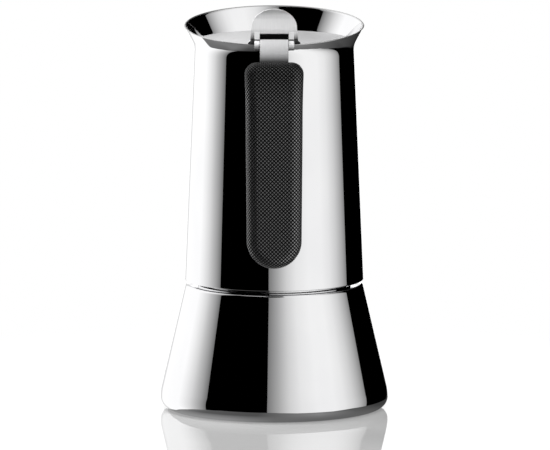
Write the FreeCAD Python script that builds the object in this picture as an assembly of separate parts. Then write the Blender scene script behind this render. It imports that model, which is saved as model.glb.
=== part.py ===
import FreeCAD, Part
import math
import os

from FreeCAD import Placement, Rotation, Vector

# A stove-top moka pot in millimetres and degrees. It stands on z = 0 with its axis
# on Z, its handle and lid hinge towards -Y and its pouring side towards +Y.

# Boiler
BASE_RADIUS = 52.5
FOOT_CORNER = 5.1
FOOT_BLEND = 21.9
BOILER_LEAN = 13.04
BOILER_HEIGHT = 58.0
BOILER_WALL = 1.0
SHOULDER_ROUND = 1.7

# Screw thread between the boiler's neck and the upper vessel's collar
SHOULDER_LEDGE = 8.2
NECK_WALL = 2.0
NECK_RISE = 12.0
THREAD_PITCH = 3.5
THREAD_DEPTH = 1.2
THREAD_ROOT_WIDTH = 2.0
THREAD_CREST_WIDTH = 0.8
THREAD_CLEARANCE = 0.4
THREAD_SINK = 0.3
NECK_THREAD_TURNS = 2.0
COLLAR_THREAD_TURNS = 1.5
THREAD_STEPS_PER_TURN = 24

# Seam between boiler and upper vessel
SEAM_HEIGHT = 1.6
COLLAR_GAP = 0.4
COLLAR_SHEET = 0.8

# Upper vessel
UPPER_WALL = 0.8
UPPER_LEAN = 2.4
UPPER_HEIGHT = 106.4
UPPER_FOOT_ROUND = 0.6
UPPER_HEM = 1.8
FLARE_ROUND = 9.0
FLARE_ANGLE = 27.5
FLARE_HEIGHT = 11.64
FLARE_SECTIONS = 8
FLARE_ROOT_SECTIONS = 4
RIM_TILT = 6.0
RIM_OFFSET = 1.5
RIM_EDGE_ROUND = 0.35

# Seal, filters and funnel
FUNNEL_SHEET = 0.8
FUNNEL_CLEARANCE = 0.6
BASKET_DEPTH = 20.0
FUNNEL_CONE_DEPTH = 6.0
SIEVE_LEDGE = 1.4
STEM_RADIUS = 4.0
STEM_FLOOR_GAP = 6.0
SIEVE_SHEET = 0.6
SIEVE_CLEARANCE = 0.2
SIEVE_HOLE_RADIUS = 0.6
SIEVE_RINGS = 4
GASKET_HEIGHT = 4.0
GASKET_CLEARANCE = 0.4
GASKET_WIDTH = 8.2
GASKET_LIP = 3.0
GASKET_LIP_HEIGHT = 0.8
PLATE_CLEARANCE = 0.1
PLATE_HEADROOM = 0.2

# Collecting chamber
FLOOR_SHEET = 1.0
COLUMN_RADIUS = 5.0
COLUMN_WALL = 0.8
COLUMN_HEIGHT = 64.0
COLUMN_FLANGE_RADIUS = 9.0
COLUMN_FLANGE_SHEET = 0.8
COLUMN_SLOT_WIDTH = 4.0
COLUMN_SLOT_HEIGHT = 5.0
CAP_SHEET = 0.8
CAP_SKIRT = 2.0

# Lid, its lever and the hinge
LID_SHEET = 0.8
LID_DEPTH = 2.2
LID_DROP = 2.1
LID_CLEARANCE = 0.3
LID_EDGE_ROUND = 0.7
PIN_RADIUS = 1.3
PIN_CLEARANCE = 0.05
HINGE_SETBACK = 3.45
HINGE_RISE = 0.3
LEVER_SHEET = 1.0
LEVER_LEAN = 8.0
LEVER_RISE = 16.5
LEVER_TIP_CORNER = 7.5
LEVER_TIP_INSET = 2.9
LEVER_TIP_CROWN = 1.3
LEVER_CURL = 38.0
LEVER_CURL_RADIUS = 6.4
LEVER_CURL_DROP = 2.6
LEVER_WAIST_HALF = 11.0
LEVER_LEAF_HALF = 12.0
LEVER_BEND = 5.5
LEVER_LEAF_SLOPE = 38.0
LEVER_LEAF_BEND = 2.0
LEVER_LEAF_LENGTH = 11.0
LEVER_LEAF_SETBACK = 3.0
WINDOW_RISE = 5.1
WINDOW_DEPTH = 4.7
WEB_SHEET = 0.8
KNUCKLE_WIDTH = 2.4
KNUCKLE_GAP = 0.15

# Handle
STRAP_WIDTH = 13.0
STRAP_SHEET = 1.4
STRAP_PAD_HEIGHT = 15.0
STRAP_PAD_END = 3.0
STRAP_BEND = 12.0
STRAP_PAD_BEND = 6.0
TANG_LENGTH = 44.0
GRIP_REACH = 25.3
GRIP_DROP = 5.0
GRIP_LENGTH = 94.0
GRIP_DEPTH = 15.0
GRIP_FOOT_RADIUS = 12.5
GRIP_TAPER = 0.4
GRIP_CORNER = 5.5
GRIP_EDGE = 5.0
TANG_CLEARANCE = 0.1
SCREW_DROP = 32.0
SCREW_RADIUS = 2.0
SCREW_CLEARANCE = 0.05
SCREW_HEAD_RADIUS = 3.5
SCREW_HEAD_HEIGHT = 2.4
SCREW_HEAD_SINK = 3.0
SCREW_REACH = 4.0
SCREW_SLOT = 0.9

# Safety valve, on the wall away from the handle
VALVE_HEIGHT = 30.0
VALVE_HEX = 13.0
VALVE_HEX_HEIGHT = 5.0
VALVE_SHANK_RADIUS = 4.0
VALVE_SHANK_LENGTH = 6.0
VALVE_SHANK_CLEARANCE = 0.1
WASHER_RADIUS = 7.6
WASHER_HEIGHT = 1.2
NUT_HEIGHT = 3.0
PLUNGER_RADIUS = 1.2
PLUNGER_CLEARANCE = 0.1
PLUNGER_TRAVEL = 1.2
PLUNGER_REACH = 2.4
PISTON_RADIUS = 2.7
PISTON_HEIGHT = 1.2
CHAMBER_CLEARANCE = 0.3
CHAMBER_SEAT = 1.6
PLUG_RADIUS = 3.7
PLUG_DEPTH = 1.8
PLUG_LIP_RADIUS = 4.6
PLUG_LIP_HEIGHT = 1.2
SPRING_WIRE_RADIUS = 0.3
SPRING_TURNS = 3
SPRING_SEAT_GAP = 0.05

# Sizes worked out from the driving ones
LEAN = math.radians(BOILER_LEAN)
UPPER_TAPER = math.tan(math.radians(UPPER_LEAN))
NECK_TOP = BOILER_HEIGHT + NECK_RISE
UPPER_FOOT = BOILER_HEIGHT + SEAM_HEIGHT
FUNNEL_RIM_TOP = NECK_TOP + FUNNEL_SHEET
FLOOR_BOTTOM = FUNNEL_RIM_TOP + GASKET_HEIGHT
FLOOR_TOP = FLOOR_BOTTOM + FLOOR_SHEET
FLARE_START = UPPER_FOOT + UPPER_HEIGHT


def cone_radius(z):
    """Outside radius of the boiler's leaning wall at a height."""
    blend_end_radius = BASE_RADIUS - FOOT_BLEND * (1 - math.cos(LEAN))
    blend_end_z = FOOT_CORNER + FOOT_BLEND * math.sin(LEAN)
    return blend_end_radius - (z - blend_end_z) * math.tan(LEAN)


SHOULDER_RADIUS = cone_radius(BOILER_HEIGHT - SHOULDER_ROUND)
NECK_RADIUS = SHOULDER_RADIUS - SHOULDER_LEDGE
CREST_RADIUS = NECK_RADIUS + THREAD_DEPTH
COLLAR_BORE = CREST_RADIUS + THREAD_CLEARANCE
HEM_RADIUS = SHOULDER_RADIUS - UPPER_HEM


def upper_radius(z):
    """Outside radius of the upper vessel's wall below its flare."""
    return SHOULDER_RADIUS - (z - UPPER_FOOT) * UPPER_TAPER


def flare_point(rise):
    """Outside radius and slope angle of the wall, level with a rise above the flare's start."""
    first = -math.radians(UPPER_LEAN)
    if rise < 0:
        return upper_radius(FLARE_START + rise), first
    last = math.radians(FLARE_ANGLE)
    sine = rise / FLARE_ROUND + math.sin(first)
    angle = math.asin(min(sine, math.sin(last)))
    round_rise = FLARE_ROUND * (math.sin(angle) - math.sin(first))
    round_reach = FLARE_ROUND * (math.cos(first) - math.cos(angle))
    radius = upper_radius(FLARE_START) + round_reach + (rise - round_rise) * math.tan(angle)
    return radius, angle


RIM_RADIUS = flare_point(FLARE_HEIGHT)[0]
FLARE_ROOT = FLARE_HEIGHT * FLARE_ROOT_SECTIONS / FLARE_SECTIONS
RIM_FRONT_Y = RIM_OFFSET - RIM_RADIUS * math.cos(math.radians(RIM_TILT))
RIM_FRONT_Z = FLARE_START + FLARE_HEIGHT - RIM_RADIUS * math.sin(math.radians(RIM_TILT))
PIN_Y = RIM_FRONT_Y - HINGE_SETBACK
PIN_Z = RIM_FRONT_Z + HINGE_RISE
EYE_RADIUS = PIN_RADIUS + STRAP_SHEET
KNUCKLE_RADIUS = PIN_RADIUS + PIN_CLEARANCE + LEVER_SHEET
KNUCKLE_INNER_X = STRAP_WIDTH / 2 + KNUCKLE_GAP
KNUCKLE_OUTER_X = KNUCKLE_INNER_X + KNUCKLE_WIDTH
LID_TOP = RIM_FRONT_Z - LID_DROP
LID_FOOT = LID_TOP - LID_DEPTH
LID_SEAT_RADIUS, LID_SEAT_ANGLE = flare_point(LID_FOOT - FLARE_START)
LID_RADIUS = LID_SEAT_RADIUS - UPPER_WALL / math.cos(LID_SEAT_ANGLE) - LID_CLEARANCE
GRIP_Y = PIN_Y - GRIP_REACH
GRIP_FRONT = GRIP_Y - GRIP_DEPTH / 2
GRIP_BACK = GRIP_Y + GRIP_DEPTH / 2
GRIP_TOP = PIN_Z - GRIP_DROP
SCREW_Z = GRIP_TOP - SCREW_DROP


def arc(centre, radius, start, end):
    """Start, middle and end of a round stretch, by its angles in degrees."""
    angles = [math.radians(start), math.radians((start + end) / 2), math.radians(end)]
    return [(centre[0] + radius * math.cos(a), centre[1] + radius * math.sin(a)) for a in angles]


def outline(stretches, to_vector):
    """Closed wire through corners (one point) and arcs (three points)."""
    edges = []
    last = stretches[-1][-1]
    for stretch in stretches:
        if math.dist(last, stretch[0]) > 1e-6:
            edges.append(Part.LineSegment(to_vector(last), to_vector(stretch[0])).toShape())
        if len(stretch) == 3:
            edges.append(Part.Arc(*[to_vector(point) for point in stretch]).toShape())
        last = stretch[-1]
    return Part.Wire(edges)


def revolved(*stretches):
    """Solid of revolution about Z from an outline of (radius, z) stretches."""
    wire = outline(stretches, lambda p: Vector(p[0], 0, p[1]))
    return Part.Face(wire).revolve(Vector(0, 0, 0), Vector(0, 0, 1), 360)


def ring(inner, outer, bottom, top):
    """Plain ring about Z."""
    return revolved([(inner, bottom)], [(outer, bottom)], [(outer, top)], [(inner, top)])


def rod(radius, bottom, top):
    """Plain rod about Z."""
    return Part.makeCylinder(radius, top - bottom, Vector(0, 0, bottom))


def cross_rod(radius, half_length, y, z):
    """Rod along X, centred on x = 0."""
    return Part.makeCylinder(radius, 2 * half_length, Vector(-half_length, y, z), Vector(1, 0, 0))


def block(low, high):
    """Box between two corners."""
    size = Vector(*high) - Vector(*low)
    return Part.makeBox(size.x, size.y, size.z, Vector(*low))


def hexagon(across_flats, bottom, top):
    """Hexagonal prism about Z."""
    corner = across_flats / math.sqrt(3)
    points = [Vector(corner, 0, bottom)]
    for step in range(1, 7):
        angle = math.radians(60 * step)
        points.append(Vector(corner * math.cos(angle), corner * math.sin(angle), bottom))
    return Part.Face(Part.makePolygon(points)).extrude(Vector(0, 0, top - bottom))


def side_path(corners, radii):
    """Wire in the YZ plane through (y, z) corners, rounded by the radii between the ends."""
    points = [Vector(0, y, z) for y, z in corners]
    edges = []
    last = points[0]
    for before, corner, after, radius in zip(points, points[1:], points[2:], radii):
        inward = (corner - before).normalize()
        outward = (after - corner).normalize()
        half_turn = inward.getAngle(outward) / 2
        start = corner - inward * (radius * math.tan(half_turn))
        end = corner + outward * (radius * math.tan(half_turn))
        towards_centre = (outward - inward).normalize()
        middle = corner + towards_centre * (radius / math.cos(half_turn) - radius)
        edges.append(Part.LineSegment(last, start).toShape())
        edges.append(Part.Arc(start, middle, end).toShape())
        last = end
    edges.append(Part.LineSegment(last, points[-1]).toShape())
    return Part.Wire(edges)


def bent_strip(corners, radii, half_width, sheet):
    """Strip of sheet, bent along a rounded path in the YZ plane."""
    path = side_path(corners, radii)
    first = Vector(0, *corners[0])
    along = (Vector(0, *corners[1]) - first).normalize()
    across = Vector(half_width, 0, 0)
    normal = Vector(0, -along.z, along.y) * (sheet / 2)
    section = Part.makePolygon([
        first - across - normal,
        first + across - normal,
        first + across + normal,
        first - across + normal,
        first - across - normal,
    ])
    return path.makePipeShell([section], True, False)


def thread_ridge(root, crest, start_z, turns):
    """Right-hand helical ridge between a root and a crest radius, for either side of the fit."""
    root_half = THREAD_ROOT_WIDTH / 2
    crest_half = THREAD_CREST_WIDTH / 2
    steps = round(turns * THREAD_STEPS_PER_TURN)
    sections = []
    for step in range(steps + 1):
        turn = turns * step / steps
        z = start_z + THREAD_PITCH * turn
        corners = [(root, -root_half), (crest, -crest_half), (crest, crest_half), (root, root_half)]
        points = [Vector(radius, 0, z + lift) for radius, lift in corners]
        section = Part.makePolygon(points + points[:1])
        section.rotate(Vector(0, 0, 0), Vector(0, 0, 1), 360 * turn)
        sections.append(section)
    return Part.makeLoft(sections, True, False)


def sieve_holes(sheet_bottom, sheet_top, outer_radius):
    """Cutters for rings of small holes inside a radius."""
    cutters = [rod(SIEVE_HOLE_RADIUS, sheet_bottom, sheet_top)]
    spacing = outer_radius / (SIEVE_RINGS + 1)
    for number in range(1, SIEVE_RINGS + 1):
        count = 6 * number
        for step in range(count):
            hole = rod(SIEVE_HOLE_RADIUS, sheet_bottom, sheet_top)
            hole.translate(Vector(number * spacing, 0, 0))
            hole.rotate(Vector(0, 0, 0), Vector(0, 0, 1), 360 * step / count)
            cutters.append(hole)
    return cutters


# Boiler

def boiler_stretches(inset):
    """Outline of the boiler's outside, set inwards by a wall, from the axis to the shoulder."""
    foot_centre = (BASE_RADIUS - FOOT_CORNER, FOOT_CORNER)
    blend_centre = (BASE_RADIUS - FOOT_BLEND, FOOT_CORNER)
    shoulder_z = BOILER_HEIGHT - SHOULDER_ROUND
    shoulder_r = cone_radius(shoulder_z) - SHOULDER_ROUND / math.cos(LEAN)
    return [
        [(0, inset)],
        arc(foot_centre, FOOT_CORNER - inset, -90, 0),
        arc(blend_centre, FOOT_BLEND - inset, 0, BOILER_LEAN),
        arc((shoulder_r, shoulder_z), SHOULDER_ROUND - inset, BOILER_LEAN, 90),
    ]


def boiler_filled():
    """The boiler's outside as a filled solid."""
    return revolved(*boiler_stretches(0), [(0, BOILER_HEIGHT)])


def boiler_shell():
    inside = revolved(*boiler_stretches(BOILER_WALL), [(0, BOILER_HEIGHT - BOILER_WALL)])
    mouth = rod(NECK_RADIUS, BOILER_HEIGHT - 2 * BOILER_WALL, BOILER_HEIGHT)
    valve_hole = on_valve_axis(rod(
        VALVE_SHANK_RADIUS + VALVE_SHANK_CLEARANCE, -VALVE_SHANK_LENGTH, VALVE_HEX_HEIGHT))
    return boiler_filled().cut(inside).cut(mouth).cut(valve_hole)


def boiler_neck():
    tube = ring(NECK_RADIUS - NECK_WALL, NECK_RADIUS, BOILER_HEIGHT - BOILER_WALL, NECK_TOP)
    ridge = thread_ridge(
        NECK_RADIUS - THREAD_SINK, CREST_RADIUS, BOILER_HEIGHT + THREAD_PITCH, NECK_THREAD_TURNS)
    return tube.fuse(ridge)


# Safety valve, drawn along Z from the boiler's outer wall and turned onto the wall

def on_valve_axis(shape):
    """Set a shape drawn along Z onto the boiler's wall, along the wall's normal."""
    outwards = Vector(0, math.cos(LEAN), math.sin(LEAN))
    seat = Vector(0, cone_radius(VALVE_HEIGHT), VALVE_HEIGHT)
    placed = shape.copy()
    placed.Placement = Placement(seat, Rotation(Vector(0, 0, 1), outwards)).multiply(placed.Placement)
    return placed


HEX_TOP = WASHER_HEIGHT + VALVE_HEX_HEIGHT
PLUG_BOTTOM = HEX_TOP - PLUG_DEPTH
CHAMBER_RADIUS = PISTON_RADIUS + CHAMBER_CLEARANCE
CHAMBER_BOTTOM = CHAMBER_SEAT - VALVE_SHANK_LENGTH
PLUNGER_BORE = PLUNGER_RADIUS + PLUNGER_CLEARANCE
PISTON_TOP = CHAMBER_BOTTOM + SPRING_SEAT_GAP + PISTON_HEIGHT


def valve_body():
    solid = hexagon(VALVE_HEX, WASHER_HEIGHT, HEX_TOP)
    solid = solid.fuse(rod(VALVE_SHANK_RADIUS, -VALVE_SHANK_LENGTH, WASHER_HEIGHT))
    solid = solid.cut(rod(PLUNGER_BORE, -VALVE_SHANK_LENGTH, HEX_TOP))
    solid = solid.cut(rod(CHAMBER_RADIUS, CHAMBER_BOTTOM, HEX_TOP))
    solid = solid.cut(rod(PLUG_RADIUS, PLUG_BOTTOM, HEX_TOP))
    chamfer_foot = HEX_TOP - VALVE_HEX / 4
    chamfer = revolved([(VALVE_HEX / 2, HEX_TOP)], [(VALVE_HEX, HEX_TOP)], [(VALVE_HEX, chamfer_foot)])
    return on_valve_axis(solid.cut(chamfer))


def valve_washer():
    bore = VALVE_SHANK_RADIUS + VALVE_SHANK_CLEARANCE
    blank = ring(bore, WASHER_RADIUS, -WASHER_HEIGHT, WASHER_HEIGHT)
    return on_valve_axis(blank).cut(boiler_filled())


def valve_nut():
    bore = VALVE_SHANK_RADIUS + VALVE_SHANK_CLEARANCE
    blank = hexagon(VALVE_HEX, -BOILER_WALL - NUT_HEIGHT, 0)
    blank = blank.cut(rod(bore, -VALVE_SHANK_LENGTH, VALVE_SHANK_LENGTH))
    inside = revolved(*boiler_stretches(BOILER_WALL), [(0, BOILER_HEIGHT - BOILER_WALL)])
    return on_valve_axis(blank).common(inside)


def valve_cap():
    plug = rod(PLUG_RADIUS, PLUG_BOTTOM, HEX_TOP)
    lip = revolved(
        [(0, HEX_TOP)],
        [(PLUG_LIP_RADIUS, HEX_TOP)],
        arc((PLUG_LIP_RADIUS - PLUG_LIP_HEIGHT, HEX_TOP), PLUG_LIP_HEIGHT, 0, 90),
        [(0, HEX_TOP + PLUG_LIP_HEIGHT)],
    )
    solid = plug.fuse(lip)
    return on_valve_axis(solid.cut(rod(PLUNGER_BORE, PLUG_BOTTOM, HEX_TOP + PLUG_LIP_HEIGHT)))


def valve_plunger():
    tip = HEX_TOP + PLUG_LIP_HEIGHT + PLUNGER_REACH
    stem = revolved(
        [(0, -VALVE_SHANK_LENGTH - PLUNGER_REACH)],
        [(PLUNGER_RADIUS, -VALVE_SHANK_LENGTH - PLUNGER_REACH)],
        arc((0, tip - PLUNGER_RADIUS), PLUNGER_RADIUS, 0, 90),
    )
    piston = rod(PISTON_RADIUS, PISTON_TOP - PISTON_HEIGHT, PISTON_TOP)
    return on_valve_axis(stem.fuse(piston))


def valve_spring():
    """Spring at its pressed length: one tube on quarter-turn arcs, from the piston outwards."""
    coil_radius = (PLUNGER_RADIUS + PISTON_RADIUS + CHAMBER_CLEARANCE) / 2
    bottom = PISTON_TOP + SPRING_WIRE_RADIUS + SPRING_SEAT_GAP
    top = PLUG_BOTTOM - PLUNGER_TRAVEL - SPRING_WIRE_RADIUS - SPRING_SEAT_GAP
    quarters = 4 * SPRING_TURNS

    def on_coil(quarter):
        angle = math.radians(90 * quarter)
        lift = bottom + (top - bottom) * quarter / quarters
        return Vector(coil_radius * math.cos(angle), coil_radius * math.sin(angle), lift)

    edges = []
    for quarter in range(quarters):
        edges.append(Part.Arc(on_coil(quarter), on_coil(quarter + 0.5), on_coil(quarter + 1)).toShape())
    rise_per_turn = (top - bottom) / SPRING_TURNS
    heading = Vector(0, 2 * math.pi * coil_radius, rise_per_turn)
    wire_end = Part.Wire(Part.makeCircle(SPRING_WIRE_RADIUS, on_coil(0), heading))
    print("spring: least gap between turns", round(rise_per_turn - 2 * SPRING_WIRE_RADIUS, 3))
    return on_valve_axis(Part.Wire(edges).makePipeShell([wire_end], True, False))


# Funnel with its coffee basket

BASKET_RADIUS = NECK_RADIUS - NECK_WALL - FUNNEL_CLEARANCE
BASKET_FLOOR = NECK_TOP - BASKET_DEPTH
STEM_TOP = BASKET_FLOOR - FUNNEL_CONE_DEPTH
STEM_BOTTOM = BOILER_WALL + STEM_FLOOR_GAP


def funnel():
    inner = BASKET_RADIUS - FUNNEL_SHEET
    ledge = inner - SIEVE_LEDGE
    stem_bore = STEM_RADIUS - FUNNEL_SHEET
    return revolved(
        [(stem_bore, STEM_BOTTOM)],
        [(STEM_RADIUS, STEM_BOTTOM)],
        [(STEM_RADIUS, STEM_TOP)],
        [(BASKET_RADIUS, BASKET_FLOOR - FUNNEL_SHEET)],
        [(BASKET_RADIUS, NECK_TOP)],
        [(CREST_RADIUS - THREAD_DEPTH, NECK_TOP)],
        [(CREST_RADIUS - THREAD_DEPTH, FUNNEL_RIM_TOP)],
        [(inner, FUNNEL_RIM_TOP)],
        [(inner, BASKET_FLOOR)],
        [(ledge, BASKET_FLOOR)],
        [(stem_bore, STEM_TOP + FUNNEL_SHEET)],
    )


def funnel_sieve():
    radius = BASKET_RADIUS - FUNNEL_SHEET - SIEVE_CLEARANCE
    top = BASKET_FLOOR + SIEVE_SHEET
    disc = rod(radius, BASKET_FLOOR, top)
    return disc.cut(sieve_holes(BASKET_FLOOR, top, radius - SIEVE_LEDGE))


# Upper vessel

def threaded_collar():
    bottom = BOILER_HEIGHT + COLLAR_GAP
    flange_top = UPPER_FOOT + COLLAR_SHEET
    outer = COLLAR_BORE + COLLAR_SHEET
    flanged = revolved(
        [(COLLAR_BORE, bottom)],
        [(outer, bottom)],
        [(outer, UPPER_FOOT)],
        [(HEM_RADIUS, UPPER_FOOT)],
        [(HEM_RADIUS, flange_top)],
        [(outer, flange_top)],
        [(outer, FLOOR_BOTTOM)],
        [(COLLAR_BORE, FLOOR_BOTTOM)],
    )
    first_ridge = BOILER_HEIGHT + THREAD_PITCH / 2
    ridge = thread_ridge(
        COLLAR_BORE + THREAD_SINK, NECK_RADIUS + THREAD_CLEARANCE, first_ridge, COLLAR_THREAD_TURNS)
    return flanged.fuse(ridge)


def rim_section(share, inset):
    """Circle of the flare at a share of its height, set inwards by a wall."""
    rise = share * FLARE_HEIGHT
    radius, angle = flare_point(rise)
    slant = max(share, 0) ** 2
    section = Part.Wire(Part.makeCircle(radius - inset / math.cos(angle)))
    tilt = Rotation(Vector(1, 0, 0), RIM_TILT * slant)
    section.Placement = Placement(Vector(0, RIM_OFFSET * slant, FLARE_START + rise), tilt)
    return section


def flare_solid(inset):
    """The flare as a filled loft, from a root on the plain wall up to the slanted rim."""
    steps = range(-FLARE_ROOT_SECTIONS, FLARE_SECTIONS + 1)
    sections = [rim_section(step / FLARE_SECTIONS, inset) for step in steps]
    return Part.makeLoft(sections, True, False)


def upper_shell():
    inset = UPPER_WALL / math.cos(math.radians(UPPER_LEAN))
    wall_top = FLARE_START - FLARE_ROOT
    foot_round = (SHOULDER_RADIUS - UPPER_FOOT_ROUND, UPPER_FOOT + UPPER_FOOT_ROUND)
    foot_inside = UPPER_FOOT + UPPER_WALL
    wall = revolved(
        [(HEM_RADIUS, UPPER_FOOT)],
        arc(foot_round, UPPER_FOOT_ROUND, -90, UPPER_LEAN),
        [(upper_radius(wall_top), wall_top)],
        [(upper_radius(wall_top) - inset, wall_top)],
        [(upper_radius(foot_inside) - inset, foot_inside)],
        [(HEM_RADIUS, foot_inside)],
    )
    flare = flare_solid(0).cut(flare_solid(UPPER_WALL))
    shell = wall.fuse(flare)
    rim_middle = FLARE_START + FLARE_HEIGHT
    rim_edges = [edge for edge in shell.Edges if abs(edge.CenterOfMass.z - rim_middle) < UPPER_WALL]
    return shell.makeFillet(RIM_EDGE_ROUND, rim_edges)


def chamber_floor():
    outer_bottom = upper_radius(FLOOR_BOTTOM) - UPPER_WALL / math.cos(math.radians(UPPER_LEAN))
    outer_top = outer_bottom - FLOOR_SHEET * UPPER_TAPER
    return revolved(
        [(COLUMN_RADIUS, FLOOR_BOTTOM)],
        [(outer_bottom, FLOOR_BOTTOM)],
        [(outer_top, FLOOR_TOP)],
        [(COLUMN_RADIUS, FLOOR_TOP)],
    )


COLUMN_TOP = FLOOR_TOP + COLUMN_HEIGHT


def column():
    bore = COLUMN_RADIUS - COLUMN_WALL
    flange_top = FLOOR_TOP + COLUMN_FLANGE_SHEET
    tube = revolved(
        [(bore, FLOOR_BOTTOM)],
        [(COLUMN_RADIUS, FLOOR_BOTTOM)],
        [(COLUMN_RADIUS, FLOOR_TOP)],
        [(COLUMN_FLANGE_RADIUS, FLOOR_TOP)],
        [(COLUMN_FLANGE_RADIUS, flange_top)],
        [(COLUMN_RADIUS, flange_top)],
        [(COLUMN_RADIUS, COLUMN_TOP)],
        [(bore, COLUMN_TOP)],
    )
    slot_top = COLUMN_TOP - CAP_SKIRT - COLUMN_SLOT_WIDTH / 2
    slot = block(
        (-2 * COLUMN_RADIUS, -COLUMN_SLOT_WIDTH / 2, slot_top - COLUMN_SLOT_HEIGHT),
        (2 * COLUMN_RADIUS, COLUMN_SLOT_WIDTH / 2, slot_top),
    )
    return tube.cut(slot)


def column_cap():
    skirt_radius = COLUMN_RADIUS + CAP_SHEET
    crown_top = COLUMN_TOP + CAP_SHEET
    return revolved(
        [(0, COLUMN_TOP)],
        [(COLUMN_RADIUS, COLUMN_TOP)],
        [(COLUMN_RADIUS, COLUMN_TOP - CAP_SKIRT)],
        [(skirt_radius, COLUMN_TOP - CAP_SKIRT)],
        arc((COLUMN_RADIUS, COLUMN_TOP), CAP_SHEET, 0, 90),
        [(0, crown_top)],
    )


GASKET_OUTER = COLLAR_BORE - GASKET_CLEARANCE
GASKET_BORE = GASKET_OUTER - GASKET_WIDTH
PLATE_SEAT = FUNNEL_RIM_TOP + GASKET_LIP_HEIGHT


def gasket():
    return revolved(
        [(GASKET_BORE, FUNNEL_RIM_TOP)],
        [(GASKET_OUTER, FUNNEL_RIM_TOP)],
        [(GASKET_OUTER, FLOOR_BOTTOM)],
        [(GASKET_BORE + GASKET_LIP, FLOOR_BOTTOM)],
        [(GASKET_BORE + GASKET_LIP, PLATE_SEAT)],
        [(GASKET_BORE, PLATE_SEAT)],
    )


def filter_plate():
    radius = GASKET_BORE + GASKET_LIP - PLATE_CLEARANCE
    top = FLOOR_BOTTOM - PLATE_HEADROOM
    dish = revolved(
        [(0, PLATE_SEAT)],
        [(radius, PLATE_SEAT)],
        [(radius, top)],
        [(radius - SIEVE_SHEET, top)],
        [(radius - SIEVE_SHEET, PLATE_SEAT + SIEVE_SHEET)],
        [(0, PLATE_SEAT + SIEVE_SHEET)],
    )
    return dish.cut(sieve_holes(PLATE_SEAT, PLATE_SEAT + SIEVE_SHEET, GASKET_BORE))


# Lid and hinge

def lid():
    round_centre = (LID_RADIUS - LID_EDGE_ROUND - LID_SHEET, LID_TOP - LID_SHEET - LID_EDGE_ROUND)
    return revolved(
        [(0, LID_TOP - LID_SHEET)],
        arc(round_centre, LID_EDGE_ROUND, 90, 0),
        [(LID_RADIUS - LID_SHEET, LID_FOOT)],
        [(LID_RADIUS, LID_FOOT)],
        arc(round_centre, LID_EDGE_ROUND + LID_SHEET, 0, 90),
        [(0, LID_TOP)],
    )


def lever_line(offset, height):
    """Point on the lever's leaning plane: offset inwards from the pin, height above it."""
    lean = math.radians(LEVER_LEAN)
    y = PIN_Y + offset * math.cos(lean) + height * math.sin(lean)
    z = PIN_Z - offset * math.sin(lean) + height * math.cos(lean)
    return y, z


def lever_tip():
    """Three arcs of the lever's arched tip: a wide crown between two closer corners."""
    base = PIN_Z + LEVER_RISE - LEVER_TIP_CROWN - LEVER_TIP_CORNER
    drop = (LEVER_TIP_INSET ** 2 - LEVER_TIP_CROWN ** 2) / (2 * LEVER_TIP_CROWN)
    crown_radius = LEVER_TIP_CORNER + LEVER_TIP_CROWN + drop
    turn = math.degrees(math.atan2(drop, LEVER_TIP_INSET))
    return [
        arc((LEVER_TIP_INSET, base), LEVER_TIP_CORNER, 0, turn),
        arc((0, base - drop), crown_radius, turn, 180 - turn),
        arc((-LEVER_TIP_INSET, base), LEVER_TIP_CORNER, 180 - turn, 180),
    ]


def lever_front():
    """Front outline of the lever as a deep prism along Y: leaf, waist and arched tip."""
    foot = PIN_Z + LEVER_SHEET / 2
    low = LID_TOP - LEVER_SHEET
    wire = outline(
        [
            [(-LEVER_LEAF_HALF, low)],
            [(LEVER_LEAF_HALF, low)],
            [(LEVER_LEAF_HALF, foot)],
            [(LEVER_WAIST_HALF, foot + LEVER_SHEET)],
            *lever_tip(),
            [(-LEVER_WAIST_HALF, foot + LEVER_SHEET)],
            [(-LEVER_LEAF_HALF, foot)],
        ],
        lambda p: Vector(p[0], 0, p[1]),
    )
    prism = Part.Face(wire).extrude(Vector(0, 2 * BASE_RADIUS, 0))
    prism.translate(Vector(0, -2 * BASE_RADIUS, 0))
    return prism


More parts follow.
